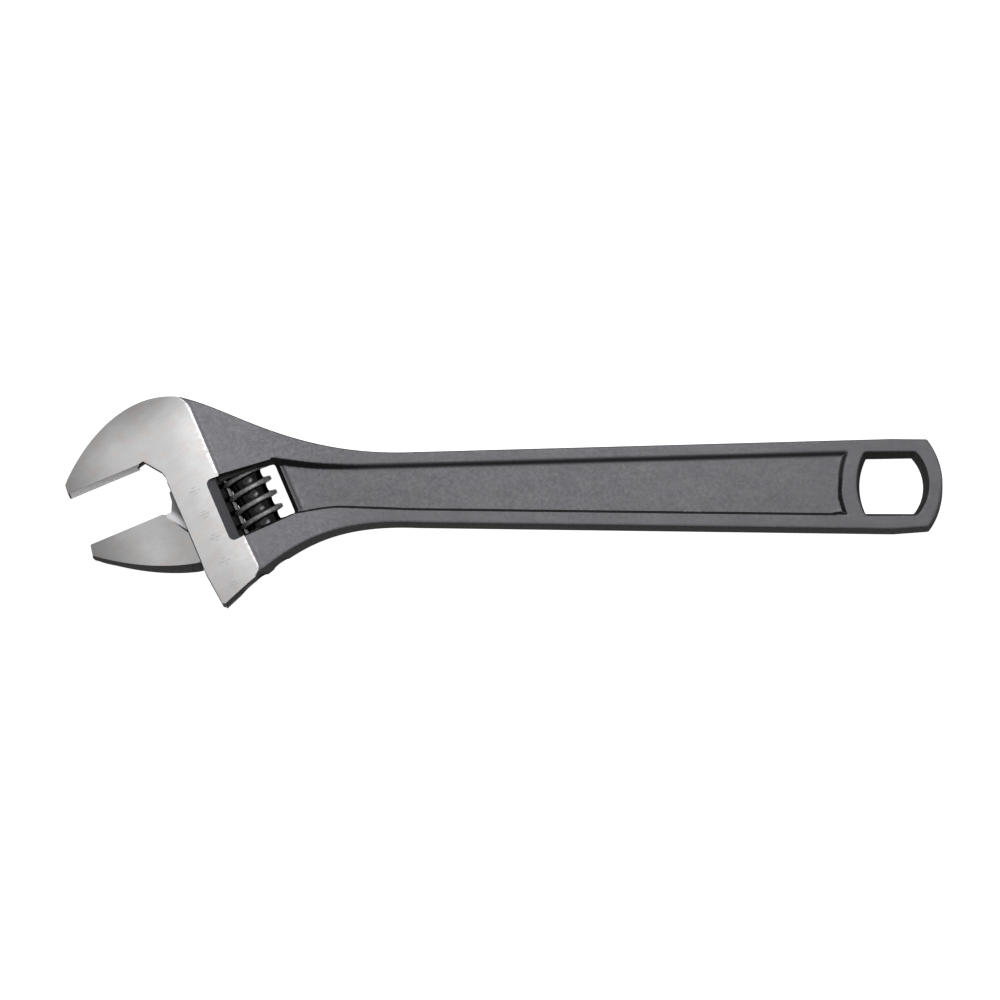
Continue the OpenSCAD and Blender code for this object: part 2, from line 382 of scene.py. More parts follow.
def finish_surface(obj, sharp_degrees=32.0):
    """Smooth shading with the sharp edges kept, weighted to the large faces."""
    bm = bmesh.new()
    bm.from_mesh(obj.data)
    bmesh.ops.remove_doubles(bm, verts=bm.verts, dist=2e-7)
    bmesh.ops.dissolve_degenerate(bm, edges=bm.edges, dist=1e-7)
    limit = math.radians(sharp_degrees)
    for face in bm.faces:
        face.smooth = True
    for edge in bm.edges:
        edge.smooth = len(edge.link_faces) == 2 and edge.calc_face_angle() < limit
    bm.to_mesh(obj.data)
    bm.free()
    weighted = obj.modifiers.new("weighted", "WEIGHTED_NORMAL")
    weighted.keep_sharp = True
    weighted.weight = 80


def prism(name, outline, z0, z1):
    """A straight prism over a plan outline, used as a cutter."""
    p = anticlockwise(outline)
    n = len(p)
    co = np.concatenate([np.column_stack([p, np.full(n, z0)]), np.column_stack([p, np.full(n, z1)])])
    faces = [tuple(range(n))[::-1], tuple(range(n, 2 * n))]
    faces += [(i, (i + 1) % n, (i + 1) % n + n, i + n) for i in range(n)]
    return make(name, co, faces)


def skin(rings, sides, joined=False):
    """The faces between rings of this many points. joined also runs them from the last ring to the first."""
    faces = []
    for i in range(rings if joined else rings - 1):
        a, b = i * sides, (i + 1) % rings * sides
        for k in range(sides):
            after = (k + 1) % sides
            faces.append((a + k, a + after, b + after, b + k))
    return faces


def lathe(name, profile, centre_u=0.0, sides=96):
    """A shape turned about the slide direction, at centre_u from the worm's axis.
    profile is (radius, s) from one end to the other, starting and ending on the axis."""
    co = []
    for radius, s in profile[1:-1]:
        for k in range(sides):
            a = 2 * math.pi * k / sides
            co.append((radius * math.cos(a), centre_u + radius * math.sin(a), -s))
    rings = len(profile) - 2
    ends = [tuple(range(sides)), tuple(range((rings - 1) * sides, rings * sides))]
    return make(name, round_slide(co), skin(rings, sides) + ends)


# ---------------------------------------------------------------- the body


def land_edge_u(s):
    """Where the ground land of the head ends, with its two corners rounded off."""
    top = np.clip(1 - (s - LAND_TOP_S) / 8, 0, 1.3)
    bottom = np.clip(1 - (LAND_BOTTOM_S - s) / 3.5, 0, 1.3)
    belly = 0.9 * np.clip((s - WINDOW_BOTTOM_S[0]) / (LAND_BOTTOM_S - WINDOW_BOTTOM_S[0]), 0, 1)
    return LAND_U + belly - 3.2 * top**2 - 2.2 * bottom**2


def upper_half(xy):
    """0 on the lower half of the handle, 1 on its upper half."""
    return smooth((xy[:, 1] + 6) / 12)


def forged_top(u, past_land):
    """The ground land at full thickness, and the forging beside it that falls towards the handle."""
    head_rise, head_run = 4.6, 80
    forged = HANDLE_TOP + head_rise * (1 - smooth((u - LAND_U) / head_run))
    ramp = THICK - (THICK - forged) * np.clip(past_land / LAND_RAMP, 0, 1)
    return np.where(past_land < 0, THICK, ramp)


def panel_floor(u):
    """The floor of the handle's panel, with the bead that crosses it beside the window."""
    bead = 0.5 * np.exp(-(((u - BEAD_U) / 0.7) ** 2)) - 0.25 * smooth((BEAD_U - u) / 3)
    return HANDLE_TOP - PANEL_DEPTH + np.where(u < 40, bead, 0)


def panel_share(xy):
    """How much of the panel's depth each point has. Its upper side and its right end slope the most."""
    upper, right = upper_half(xy), smooth((xy[:, 0] - 173) / 5)
    wall = 1.4 + 2.4 * np.maximum(upper, 0.6 * right)
    return smooth((depth_inside(xy, PANEL) + 0.3 + 1.2 * upper) / wall)


def body_height(xy):
    u, s = to_slide(xy)
    past_land = u - land_edge_u(s)
    top = forged_top(u, past_land)
    top = top - panel_share(xy) * (top - panel_floor(u))
    # the pocket's wall falls from the land to the window
    slope = THICK - 0.6 - 0.64 * np.maximum(u - POCKET_U, 0)
    in_pocket = (depth_inside(xy, POCKET) > 0) & (u < WINDOW_LEFT_U + 1)
    top = np.where(in_pocket, np.minimum(top, slope), top)
    # the edges are crisp on the land, soft on the forging and softest along its lower side
    softness = 0.15 + (1.7 - 1.0 * upper_half(xy)) * smooth((past_land + 0.5) / 4)
    outer = edge_drop(distance_to(xy, OUTER), softness)
    hole = edge_drop(distance_to(xy, HOLE), 1.2)
    bevel = np.where(u < WINDOW_LEFT_U + 2, 0.2, np.where(u > WINDOW_RIGHT_U - 1, 1.7, 0.8))
    top = top - outer - hole - 1.3 * np.maximum(bevel - distance_to(xy, RIM), 0)
    return np.where(depth_inside(xy, RIM) > 0.01, np.minimum(top, THICK - RIM_DEPTH), top)


def body_lean(xy):
    """The jaw face, the throat, the front of the slide and the window are machined, so they have no draft.
    The hanging hole narrows most, and the back of the fixed jaw leans least."""
    u, s = to_slide(xy)
    machined = ((s > FIXED_FACE_S - 3) & (u < FRONT_U + 3)) | (distance_to(xy, WINDOW) < 0.2)
    from_middle = xy - HOLE.mean(0)
    hole = 2.2 - 0.013 * from_middle[:, 0] + 0.055 * from_middle[:, 1]
    # from the middle of the thickness up to the rounded edge, on the handle and on the head
    half_height = 5.7 + 7 * (1 - smooth((u - FRONT_U) / 110))
    below = np.where(u < 0, s > -20, 0.5 - xy[:, 1] / 36)
    outer = 0.6 * smooth((u - TIP_U) / 20) + (0.85 + 0.3 * smooth(u / 60)) * np.clip(below, 0, 1)
    share = np.where(machined, 0.0, np.where(distance_to(xy, HOLE) < 0.2, hole, outer))
    return DRAFT * half_height * share


def slide_cutters():
    """The rail's channel, the neck's slot, the relief under the throat and the bore of the worm pin."""
    top, bottom = RAIL_TOP_S - TRAVEL - 1, 62
    channel = RAIL_RADIUS + SLIDE_GAP
    yield lathe("channel", [(0, top), (channel, top), (channel, bottom), (0, bottom)], RAIL_U)
    slot = [(RAIL_U, top), (-27, top), (-40.4, top + 2), (-43.5, FIXED_FACE_S - 2)]
    slot += [(FACE_END_U - 1, FIXED_FACE_S - 1), (FACE_END_U - 1, FIXED_FACE_S + 1)]
    slot += [(-60, bottom), (RAIL_U, bottom)]
    yield prism("slot", on_slide(slot), MID - NECK_HALF - SLIDE_GAP, MID + NECK_HALF + SLIDE_GAP)
    (u0, s0), (u1, s1) = THROAT
    into_head = THROAT_RELIEF / math.hypot(u1 - u0, s1 - s0) * np.array((s1 - s0, u0 - u1))
    deep = [np.array(THROAT[0]) + into_head, np.array(THROAT[1]) + into_head]
    relief = [(FACE_END_U, FIXED_FACE_S + 3), (FACE_END_U, FIXED_FACE_S - 1.2), *deep]
    relief += [(deep[1][0], -26), (-43, -26)]
    yield prism("relief", on_slide(relief), -1, MID + NECK_HALF)
    small, large = PIN_RADIUS + 0.04, PIN_HEAD_RADIUS + 0.04
    top, shoulder, bottom = -29, 20.8, 60
    bore = [(0, top), (small, top), (small, shoulder), (large, shoulder), (large, bottom), (0, bottom)]
    yield lathe("bore", bore, sides=64)


OUTER = body_outline()
HOLE = hanging_hole()
WINDOW = window(WINDOW_TOP_S)
RIM = window(RIM_TOP_S)
PANEL = panel()
POCKET = pocket()


def make_body():
    # the mesh follows rings beside every edge and lines across the bead, so that their roundings come out
    lines = [(ring(OUTER, d), True) for d in (0.1, 0.25, 0.5, 0.9, 1.4, 2.0)]
    lines += [(ring(HOLE, -d), True) for d in (0.15, 0.4, 0.8, 1.3)]
    lines += [(ring(PANEL, d), True) for d in (-1.5, -0.9, -0.3, 0.2, 0.7, 1.2, 1.7, 2.3)]
    lines += [(ring(RIM, d), True) for d in (-1.7, -0.8, -0.2, 0.0, 0.05)]
    lines += [(ring(POCKET, d), True) for d in (-0.05, 0.05)]
    along = np.linspace(LAND_TOP_S - 6, LAND_BOTTOM_S + 6, 90)
    for d in np.linspace(0, LAND_RAMP, 4):
        lines.append((np.array(on_slide([(land_edge_u(s) + d, s) for s in along])), False))
    for d in (-2.0, -1.0, -0.5, 0.0, 0.5, 1.0, 2.0):
        lines.append((np.array(on_slide([(BEAD_U + d, s) for s in np.linspace(-15, 15, 12)])), False))
    co, faces = lying_shape(OUTER, [HOLE, WINDOW], lines, body_height, body_lean, 3.0)
    body = make("wrench_body", co, faces)
    combine(body, list(slide_cutters()), "DIFFERENCE")
    return body


# ---------------------------------------------------------------- the movable jaw

JAW_FACE_S = FIXED_FACE_S + OPENING
# where the jaw's ground land ends, and how far the slope below it runs
LAND_END = ((-47.2, -9.3), (-38.5, 4.6))
SLOPE_RUN = 1.4
NECK_WALL_U = -38.45
NECK_WALL_RUN = 0.2


def jaw_outline():
    tip = (-88.4, -3.6)
    points = [(TIP_U + 0.5, JAW_FACE_S), (-42.4, JAW_FACE_S), (-39.9, -14.5), (-39.3, -19.5), (-27, -21)]
    points += [(RAIL_U, -21), (RAIL_U, RAIL_BOTTOM_S - 1), (-24, RAIL_BOTTOM_S - 1), (-37.7, 21.2)]
    points += bend((-38.8, 21.2), (-58, 17), (-74.5, 7.5), tip, 30)[1:]
    points += [tip, (-88.2, -4.6)]
    return rounded_loop(on_slide(points), 0.7, 1.5)


JAW = jaw_outline()


def jaw_height(xy):
    u, s = to_slide(xy)
    (u0, s0), (u1, s1) = LAND_END
    across = ((u - u0) * (s1 - s0) - (s - s0) * (u1 - u0)) / math.hypot(u1 - u0, s1 - s0)
    ramp = np.clip(across / SLOPE_RUN, 0, 1)
    wall = np.clip((u - NECK_WALL_U) / NECK_WALL_RUN, 0, 1)
    top = THICK - (MID - NECK_HALF) * np.maximum(ramp, wall)
    return top - edge_drop(distance_to(xy, JAW), 0.15)


def jaw_lean(xy):
    """None on the gripping face; the belly leans out more towards the slide."""
    u, s = to_slide(xy)
    return DRAFT * MID * smooth((s + 7) / 8) * (u < FRONT_U + 1) * (0.65 + 0.032 * np.clip(u + 78, 0, 40))


def groove(i):
    """One groove of the rack, leaning with the worm's thread."""
    room, crest, root, reach = 0.28, 1.0, 1.8, 12
    lead = math.atan(PITCH / (math.pi * (WORM_RADIUS + CORE_RADIUS)))
    rise = (root - crest) / (WORM_RADIUS - CORE_RADIUS)
    deep, out = -WORM_RADIUS - 2.5, -5.0
    narrow, wide = crest + room, crest + room + rise * (WORM_RADIUS + out)
    half = [(deep, narrow), (-WORM_RADIUS, narrow), (out, wide)]
    section = half + [(u, -t) for u, t in half[::-1]]
    centre = (i + PHASE - 0.25) * PITCH
    co = []
    n = len(section)
    for across in (-reach, reach):
        shift = across * math.tan(lead)
        co += [(across, u, centre + t / math.cos(lead) + shift) for u, t in section]
    faces = [tuple(range(n)), tuple(range(2 * n))[:n - 1:-1]]
    faces += [(k, k + n, (k + 1) % n + n, (k + 1) % n) for k in range(n)]
    return make(f"groove{i}", round_slide(co), faces)


def make_jaw():
    lines = [(ring(JAW, d), True) for d in (0.1, 0.25, 0.45)]
    start, end = np.array(LAND_END)
    along = end - start
    foot = start + np.array((along[1], -along[0])) / np.linalg.norm(along) * SLOPE_RUN
    wall_u, top, bottom = NECK_WALL_U + NECK_WALL_RUN, -22, 23
    edge_path = (start - 0.05 * along, end, (end[0], bottom))
    wall_path = ((wall_u, top), (wall_u, bottom))
    foot_path = (foot - 0.3 * along, foot + along)
    lines += [(np.array(on_slide(path)), False) for path in (edge_path, wall_path, foot_path)]
    co, faces = lying_shape(JAW, [], lines, jaw_height, jaw_lean, 3.0)
    jaw = make("wrench_jaw", co, faces)
    r, top, bottom, c = RAIL_RADIUS, RAIL_TOP_S, RAIL_BOTTOM_S, 1.2
    rail = [(0, top), (r - c, top), (r - 0.35, top + 0.35), (r, top + c)]
    rail += [(r, bottom - c), (r - 0.35, bottom - 0.35), (r - c, bottom), (0, bottom)]
    combine(jaw, [lathe("rail", rail, RAIL_U)], "UNION")
    combine(jaw, [groove(i) for i in range(-5, 5)], "DIFFERENCE")
    return jaw


# ---------------------------------------------------------------- worm, pin and spring


def worm_radius(angle, t):
    """Radius of the knurl at an angle and a height along its axis: rounded ridges on a core."""
    ridge_half, chamfer = 1.65, 1.1
    from_ridge = np.abs((t / PITCH - angle / (2 * math.pi) - PHASE + 0.5) % 1 - 0.5) * PITCH
    rise = np.maximum(1 - np.clip(from_ridge / ridge_half, 0, 1) ** 5, 0) ** 0.6
    hollow = 0.35 * np.clip((PITCH / 2 - from_ridge) / 2.2, 0, 1) ** 2
    r = np.maximum(CORE_RADIUS + 0.1 + hollow, CORE_RADIUS + (WORM_RADIUS - CORE_RADIUS) * rise)
    from_end = np.minimum(t + WORM_BOTTOM_S, -WORM_TOP_S - t)
    return np.minimum(r, WORM_RADIUS - chamfer + chamfer * smooth(from_end / chamfer))


def make_worm():
    sides, steps = 224, 150
    angles = np.arange(sides) * 2 * math.pi / sides
    rings = []
    for k in range(steps + 1):
        t = -WORM_BOTTOM_S + (WORM_BOTTOM_S - WORM_TOP_S) * k / steps
        rings.append((worm_radius(angles, t), t))
    top, floor, bottom = -WORM_TOP_S, -WORM_TOP_S - SPRING_POCKET, -WORM_BOTTOM_S
    bore, pocket_radius, chamfer = PIN_RADIUS + 0.08, 5.2, 0.3
    inner = [(pocket_radius + chamfer, top), (pocket_radius, top - chamfer), (pocket_radius, floor)]
    inner += [(bore, floor), (bore, bottom + chamfer), (bore + chamfer, bottom)]
    rings += [(np.full(sides, radius), t) for radius, t in inner]
    co = []
    for radius, t in rings:
        co += list(zip(radius * np.cos(angles), radius * np.sin(angles), np.full(sides, t)))
    return make("wrench_worm", round_slide(co), skin(len(rings), sides, joined=True))


def make_pin():
    r, head = PIN_RADIUS, PIN_HEAD_RADIUS
    profile = [(0, -28), (r - 0.6, -28), (r, -27.4), (r, 20.7), (head - 0.4, 21), (head, 21.4)]
    profile += [(head, 33.1), (head - 0.5, 33.6), (0, 33.6)]
    pin = lathe("wrench_pin", profile, sides=64)
    x, y = head + 1, 0.7
    co = [(a * x, b * y, -c) for c in (31.8, 36) for a, b in ((-1, -1), (1, -1), (1, 1), (-1, 1))]
    faces = [(0, 1, 2, 3), (7, 6, 5, 4)] + [(k, k + 4, (k + 1) % 4 + 4, (k + 1) % 4) for k in range(4)]
    combine(pin, [make("driver_slot", round_slide(co), faces)], "DIFFERENCE")
    return pin


def make_spring():
    """A wire wound round the pin, with closed ends, between the window's wall and the worm's pocket."""
    wire, coil, turns, per_turn, sides = 0.5, 4.25, 5, 28, 10
    first, last = 13.4 - wire, -WORM_TOP_S - SPRING_POCKET + wire + 0.05
    rows = turns * per_turn
    co = []
    for i in range(rows + 1):
        f = i / rows
        a = 2 * math.pi * turns * f
        t = first + (last - first) * smooth(f * 0.8 + 0.1) if 0 < f < 1 else (first, last)[int(f)]
        for k in range(sides):
            b = 2 * math.pi * k / sides
            r = coil + wire * math.cos(b)
            co.append((r * math.cos(a), r * math.sin(a), t + wire * math.sin(b)))
    ends = [tuple(range(sides)), tuple(range(rows * sides, (rows + 1) * sides))]
    return make("wrench_spring", round_slide(co), skin(rows + 1, sides) + ends)


# ---------------------------------------------------------------- materials


class Shader:
    """A material and the nodes that drive it. Lengths are in millimetres."""

    def __init__(self, name, color, rough, metal):
        self.material = bpy.data.materials.new(name)
        self.material.use_nodes = True
        self.tree = self.material.node_tree
        self.surface = self.tree.nodes["Principled BSDF"]
        self.surface.inputs["Base Color"].default_value = (*color, 1)
        self.surface.inputs["Roughness"].default_value = rough
        self.surface.inputs["Metallic"].default_value = metal

    def node(self, kind, values, **settings):
        """A new node; values holds numbers or outputs of other nodes, by socket name or number."""
        made = self.tree.nodes.new(kind)
        for key, value in settings.items():
            setattr(made, key, value)
        for key, value in values.items():
            if isinstance(value, bpy.types.NodeSocket):
                self.tree.links.new(value, made.inputs[key])
            else:
                made.inputs[key].default_value = value
        return made

    def drive(self, socket, output):
        """Feeds an output to one of the surface's sockets."""
        self.tree.links.new(output, self.surface.inputs[socket])

    def along(self, size, angle=0.0):
        """Coordinates fixed to the piece, counted in grains of this size (length, width, height)."""
        source = self.tree.nodes.new("ShaderNodeTexCoord").outputs["Object"]
        grain = {"Vector": source, "Rotation": (0, 0, angle), "Scale": tuple(k * MM for k in size)}
        return self.node("ShaderNodeMapping", grain, vector_type="TEXTURE").outputs[0]

    def noise(self, where, detail=2.0, rough=0.5):
        values = {"Vector": where, "Scale": 1.0, "Detail": detail, "Roughness": rough}
        return self.node("ShaderNodeTexNoise", values).outputs[0]

    def fit(self, value, low, high, to_low=0.0, to_high=1.0, soft=False):
        """The value brought from low..high to to_low..to_high, and held at the ends."""
        values = {"Value": value, "From Min": low, "From Max": high, "To Min": to_low, "To Max": to_high}
        kind = "SMOOTHSTEP" if soft else "LINEAR"
        return self.node("ShaderNodeMapRange", values, interpolation_type=kind).outputs[0]

    def math(self, operation, a, b=0.0):
        return self.node("ShaderNodeMath", {0: a, 1: b}, operation=operation).outputs[0]

    def product(self, first, *others):
        for other in others:
            first = self.math("MULTIPLY", first, other)
        return first

    def mix(self, factor, a, b, blend="MIX"):
        a, b = ((*c, 1) if isinstance(c, tuple) else c for c in (a, b))
        made = self.node("ShaderNodeMix", {0: factor, 6: a, 7: b}, data_type="RGBA", blend_type=blend)
        return made.outputs[2]

    def relief(self, height, depth):
        """Bumps of this depth in millimetres."""
        values = {"Height": height, "Distance": depth * MM, "Strength": 1.0}
        self.drive("Normal", self.node("ShaderNodeBump", values).outputs[0])

    def flatness(self):
        """1 where the surface lies flat, 0 where it is a side wall."""
        source = self.tree.nodes.new("ShaderNodeTexCoord").outputs["Normal"]
        upright = self.node("ShaderNodeSeparateXYZ", {0: source}).outputs[2]
        return self.math("ABSOLUTE", upright)

    def on_slide(self, u, s):
        """Distances from a point of the slide, along u and s."""
        centre = place([[*from_slide((u, s)), MID]])[0]
        source = self.tree.nodes.new("ShaderNodeTexCoord").outputs["Object"]
        values = {0: source, 1: tuple(-centre)}
        shifted = self.node("ShaderNodeVectorMath", values, operation="ADD").outputs[0]
        turned = self.node("ShaderNodeVectorRotate", {"Vector": shifted, "Angle": -HEAD_ANGLE}).outputs[0]
        parts = self.node("ShaderNodeSeparateXYZ", {0: turned}).outputs
        return self.math("MULTIPLY", parts[0], 1 / MM), self.math("MULTIPLY", parts[1], -1 / MM)


def forged_black():
    """Phosphated forging: worn grey on the flats, black on the sides and in the corners, partly from its
    coating and partly as painted shade.
    """
    m = Shader("forged_black", (0.15, 0.15, 0.16), 0.5, 0.35)
    speckle = m.noise(m.along((0.5, 0.5, 0.5)), 3, 0.6)
    cloud = m.noise(m.along((22, 9, 9)), 3)
    grey = m.fit(m.math("ADD", m.math("MULTIPLY", speckle, 0.6), m.math("MULTIPLY", cloud, 0.4)), 0.3, 0.7)
    flat = m.mix(grey, (0.156, 0.156, 0.171), (0.231, 0.231, 0.247))
    # painted shade: the coating's black is deepened wherever the surface stops lying flat, on walls, slopes
    # and corners
    painted_shade_mix = m.fit(m.flatness(), 0.72, 0.99, soft=True)
    # painted light: the flats are brighter towards the head
    painted_light_near_head = m.fit(m.on_slide(0.0, 0.0)[0], -15, 45, 1.4, 1.0)
    m.drive("Base Color", m.mix(painted_shade_mix, (0.012, 0.012, 0.012), m.mix(1.0, flat, painted_light_near_head, "MULTIPLY")))
    m.drive("Roughness", m.fit(m.noise(m.along((1.6, 1.6, 1.6)), 2), 0.3, 0.7, 0.44, 0.6))
    m.relief(speckle, 0.05)
    return m.material


def forged_sides():
    """The side walls, which keep all of their black coating and do not shine; their darkness is partly
    painted shade.
    """
    m = Shader("forged_sides", (0.03, 0.03, 0.03), 0.8, 0.0)
    m.surface.inputs["Specular IOR Level"].default_value = 0.0
    speckle = m.noise(m.along((0.7, 0.7, 0.7)), 3, 0.6)
    m.drive("Base Color", m.mix(m.fit(speckle, 0.3, 0.7), (0.03, 0.03, 0.03), (0.085, 0.085, 0.083)))
    m.relief(speckle, 0.08)
    return m.material


def milled_face():
    """The gripping faces, cut across their length and left dull, and the worn tips of the rack's teeth, whose
    light grey is partly bare steel and partly painted glints.
    """
    m = Shader("milled_face", (0.45, 0.45, 0.45), 0.6, 0.0)
    m.surface.inputs["Specular IOR Level"].default_value = 0.1
    lines = m.noise(m.along((0.5, 0.5, 6), HEAD_ANGLE), 2, 0.6)
    m.drive("Base Color", m.mix(m.fit(lines, 0.3, 0.7), (0.36, 0.36, 0.37), (0.56, 0.56, 0.57)))
    m.relief(lines, 0.03)
    return m.material


def ground_steel(name, shade):
    """Ground faces: fine short streaks along the jaws and faint brown stains. Painted light darkens them
    towards the tips, the crown and the lower end, and brightens them beside the window. shade is how much of
    the light the cleanest metal gives back."""
    m = Shader(name, (shade, shade, shade), 0.3, 1.0)
    streak = m.noise(m.along((7, 0.7, 9), HEAD_ANGLE), 3, 0.6)
    sweep = m.noise(m.along((18, 3, 20), HEAD_ANGLE + 0.25), 2, 0.6)
    cloud = m.noise(m.along((13, 9, 10), HEAD_ANGLE), 2)
    grit = m.noise(m.along((1.3, 0.45, 1), HEAD_ANGLE), 2, 0.7)
    tone = m.math("ADD", m.math("MULTIPLY", streak, 0.4), m.math("MULTIPLY", sweep, 0.3))
    tone = m.math("ADD", tone, m.math("MULTIPLY", grit, 0.3))
    clean, dull = (tuple(k * shade for k in grey) for grey in ((1.0, 1.0, 1.0), (0.8, 0.8, 0.81)))
    worn = m.mix(m.fit(tone, 0.34, 0.66), dull, clean)
    worn = m.mix(m.fit(cloud, 0.35, 0.65, 0.0, 0.5), worn, dull)
    stain = m.fit(m.noise(m.along((6, 7, 6), HEAD_ANGLE), 3, 0.6), 0.46, 0.72, 0.0, 0.5)
    worn = m.mix(stain, worn, tuple(k * shade for k in (0.86, 0.74, 0.68)))
    u, s = m.on_slide(0.0, 0.0)
    # painted light: the ground faces darken towards the jaw tips, the crown and the lower end, and brighten
    # beside the window
    tips, crown = m.fit(u, -92, -53, 0.46, 1.0, soft=True), m.fit(s, -72, -44, 0.47, 1.0, soft=True)
    painted_highlight_by_window, painted_shade_lower_end = m.fit(u, -32, -14, 1.0, 1.2, soft=True), m.fit(s, 14, 44, 1.0, 0.88)
    variation = m.product(tips, crown, painted_highlight_by_window, painted_shade_lower_end)
    m.drive("Roughness", m.fit(tone, 0.3, 0.7, 0.34, 0.27))
    m.relief(streak, 0.006)
    return m, m.mix(1.0, worn, variation, "MULTIPLY")


def ground_head():
    m, color = ground_steel("ground_head", 0.575)
    m.drive("Base Color", m.mix(opening_scale(m), color, (0.22, 0.18, 0.15)))
    return m.material


def ground_jaw():
    m, color = ground_steel("ground_jaw", 0.525)
    # painted shade: the jaw's ground face darkens towards its root
    root = m.fit(m.on_slide(0.0, 0.0)[0], -62, -40, 1.0, 0.76, soft=True)
    m.drive("Base Color", m.mix(1.0, color, root, "MULTIPLY"))
    return m.material


def neck_steel():
    """The jaw's neck: as bright as the ground faces on its slope, and darker towards its slot as painted
    shade.
    """
    m = Shader("neck_steel", (0.4, 0.4, 0.41), 0.32, 1.0)
    (u0, s0), (u1, s1) = LAND_END
    length = math.hypot(u1 - u0, s1 - s0)
    u, s = m.on_slide(u0, s0)
    across = m.math("MULTIPLY", u, (s1 - s0) / length)
    across = m.math("SUBTRACT", across, m.math("MULTIPLY", s, (u1 - u0) / length))
    # painted shade: darker away from the land's edge, towards the slot
    painted_shade_mix = m.fit(across, 2.6, 6.2, soft=True)
    m.drive("Base Color", m.mix(painted_shade_mix, (0.58, 0.58, 0.6), (0.17, 0.17, 0.175)))
    return m.material


def opening_scale(m):
    """How strongly the scale on the head is etched: five faint marks, each a long tick and two short ones."""
    across, along = m.on_slide(SCALE_U, SCALE_S)
    across = m.math("ABSOLUTE", across)
    place_in_mark = m.math("PINGPONG", along, SCALE_STEP / 2)
    width, ticks = 0.35, 0.0
    for half, at in ((3.0, 0.0), (1.6, 1.6)):
        from_line = m.math("ABSOLUTE", m.math("SUBTRACT", place_in_mark, at))
        line = m.fit(from_line, width * 0.5, width * 1.5, 1.0, 0.0)
        tick = m.product(line, m.fit(across, half - 0.2, half + 0.2, 1.0, 0.0))
        ticks = m.math("MAXIMUM", tick, ticks)
    inside_scale = m.fit(m.math("ABSOLUTE", along), 2.3 * SCALE_STEP, 2.4 * SCALE_STEP, 1.0, 0.0)
    patchy = m.fit(m.noise(m.along((1.2, 1.2, 1.2)), 1), 0.35, 0.6, 0.05, 0.4)
    return m.product(ticks, inside_scale, patchy)


def black_oxide():
    """Glossy black oxide on turned steel."""
    m = Shader("black_oxide", (0.2, 0.2, 0.205), 0.2, 1.0)
    m.surface.inputs["Specular Tint"].default_value = (0.1, 0.1, 0.1, 1)
    variation = m.noise(m.along((1.5, 1.5, 1.5)), 3, 0.6)
    m.drive("Base Color", m.mix(m.fit(variation, 0.35, 0.7), (0.03, 0.03, 0.032), (0.055, 0.055, 0.057)))
    m.drive("Roughness", m.fit(variation, 0.3, 0.7, 0.11, 0.18))
    m.relief(m.noise(m.along((0.5, 0.5, 0.5)), 2), 0.02)
    return m.material


def rubbed_black():
    """Black oxide worn thin by fingers, as on the worm's ridges."""
    m = Shader("rubbed_black", (0.15, 0.15, 0.155), 0.45, 0.5)
    variation = m.noise(m.along((1.1, 1.1, 1.1)), 3, 0.6)
    m.drive("Base Color", m.mix(m.fit(variation, 0.35, 0.65), (0.17, 0.17, 0.175), (0.42, 0.42, 0.425)))
    m.relief(variation, 0.04)
    return m.material


def bare_steel(name, color, grain):
    """Turned or drawn steel with a fine grain."""
    m = Shader(name, color, 0.35, 1.0)
    tone = m.noise(m.along(grain, HEAD_ANGLE), 2, 0.6)
    dark, light = (tuple(k * c for c in color) for k in (0.75, 1.15))
    m.drive("Base Color", m.mix(m.fit(tone, 0.3, 0.7), dark, light))
    m.drive("Roughness", m.fit(tone, 0.3, 0.7, 0.3, 0.45))
    return m.material


def paint(obj, materials, choose=None):
    obj.data.materials.clear()
    for m in materials:
        obj.data.materials.append(m)
    if choose:
        for face in obj.data.polygons:
            centre = np.array((face.center.x, face.center.y)) / MM + OUTLINE_MIDDLE
            u, s = to_slide(centre)
            face.material_index = choose(u, s, face.center.z / MM, face.normal)


FORGED, GROUND, SIDE, MILLED, OXIDE, NECK = range(6)


def slide_parts(normal):
    """How far a normal points along u and along s."""
    return normal.x * U[0] + normal.y * U[1], normal.x * S[0] + normal.y * S[1]


def body_slot(u, s, z, normal):
    """Milled on the jaw face and the slide's front, black on the other walls and, as painted shade, on the
    ledge down in the window's rim; ground on the head's land.
    """
    along_u, along_s = slide_parts(normal)
    if abs(normal.z) < 0.45:
        grips = along_s > 0.999 and u < FACE_END_U + 2.5 and abs(s - FIXED_FACE_S) < 1
        slides = along_u < -0.95 and abs(u - FRONT_U) < 3 and s > -27
        return MILLED if grips or slides else SIDE
    if u < land_edge_u(s) and abs(z - MID) > MID - 0.5:
        return GROUND
    # painted shade: faces down in the window's rim take the black side finish
    painted_shade_in_rim = RIM_TOP_S[0] < s < WINDOW_BOTTOM_S[0] and POCKET_U < u < WINDOW_RIGHT_U
    return SIDE if painted_shade_in_rim and abs(z - MID) < MID - RIM_DEPTH + 0.1 else FORGED


def jaw_slot(u, s, z, normal):
    """Black rail and rack with bright tips on its teeth (worn bare, and painted as glints), ground land,
    black outer walls, milled jaw face.
    """
    if u > FRONT_U + 1:
        # the teeth's tips take the light milled grey: worn bare steel, and painted glints
        worn_glint_tip = math.hypot(u - RAIL_U, z - MID) > RAIL_RADIUS - 0.15 and RAIL_U + 6.7 < u < RAIL_U + 8.7
        return MILLED if worn_glint_tip else OXIDE
    if abs(z - MID) > MID - 0.5:
        return GROUND
    along_u, along_s = slide_parts(normal)
    if along_s > 0.3 or along_u < -0.3:
        return SIDE
    if along_s < -0.999:
        return MILLED
    return NECK if abs(normal.z) > 0.5 else GROUND


def worm_slot(u, s, z, normal):
    """Rubbed on the ridges, glossy between them."""
    return int(math.hypot(u, z - MID) > WORM_RADIUS - 1.0)


# ---------------------------------------------------------------- camera, floor and light


